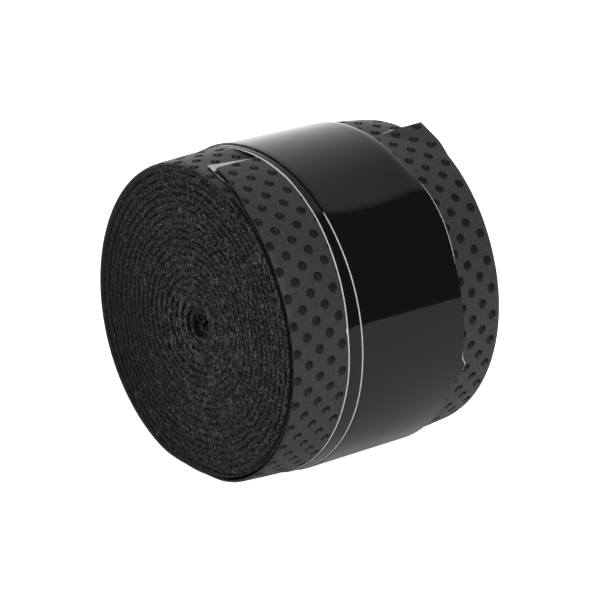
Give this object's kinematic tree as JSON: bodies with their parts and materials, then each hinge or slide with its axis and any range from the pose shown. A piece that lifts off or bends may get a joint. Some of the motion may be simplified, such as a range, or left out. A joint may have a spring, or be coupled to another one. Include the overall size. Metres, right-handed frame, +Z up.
{
  "type": "grip tape roll",
  "caption": "Coreless roll of dimpled felt-backed grip tape on its side, held shut by a wound band of glossy finishing tape, with one sprung-up corner at the free end.",
  "frame": {"origin": "where the band of finishing tape rests on the ground, straight below the roll's axis", "axes": "+Y along the roll's axis, away from the felt face that winds clockwise when seen from outside; +Z up, the roll lying on its side; +X level, across the roll"},
  "size_m": [0.0332, 0.0258, 0.0331],
  "materials": {
    "grip_skin": "soft matt polyurethane skin with a staggered pattern of round dimples",
    "felt": "fuzzy black nonwoven felt",
    "adhesive": "thin pale double-sided adhesive tape",
    "liner": "smooth white release liner",
    "film": "glossy black finishing-tape film",
    "backing": "pale backing under the film, seen as a thin light line along its edges"
  },
  "bodies": {
    "tape_roll": {"tape_skin": "grip_skin", "tape_felt": "felt", "start_adhesive": "adhesive", "start_liner": "liner"},
    "tape_tab": {"tab_skin": "grip_skin", "tab_felt": "felt", "tab_adhesive": "adhesive", "tab_liner": "liner"},
    "band": {"band_film": "film", "band_backing": "backing"}
  },
  "joints": [
    {"name": "band_slide", "type": "slide", "parent": "tape_roll", "child": "band", "axis": [0, -1, 0], "range_m": [0, 0.024]},
    {"name": "tab_lift", "type": "hinge", "parent": "tape_roll", "child": "tape_tab", "pos_m": [0.00491, 0.01025, 0.03161], "axis": [0.7004, 0.6782, -0.2225], "range_deg": [-5, 70], "stiffness_Nm_per_rad": 0.0001}
  ]
}
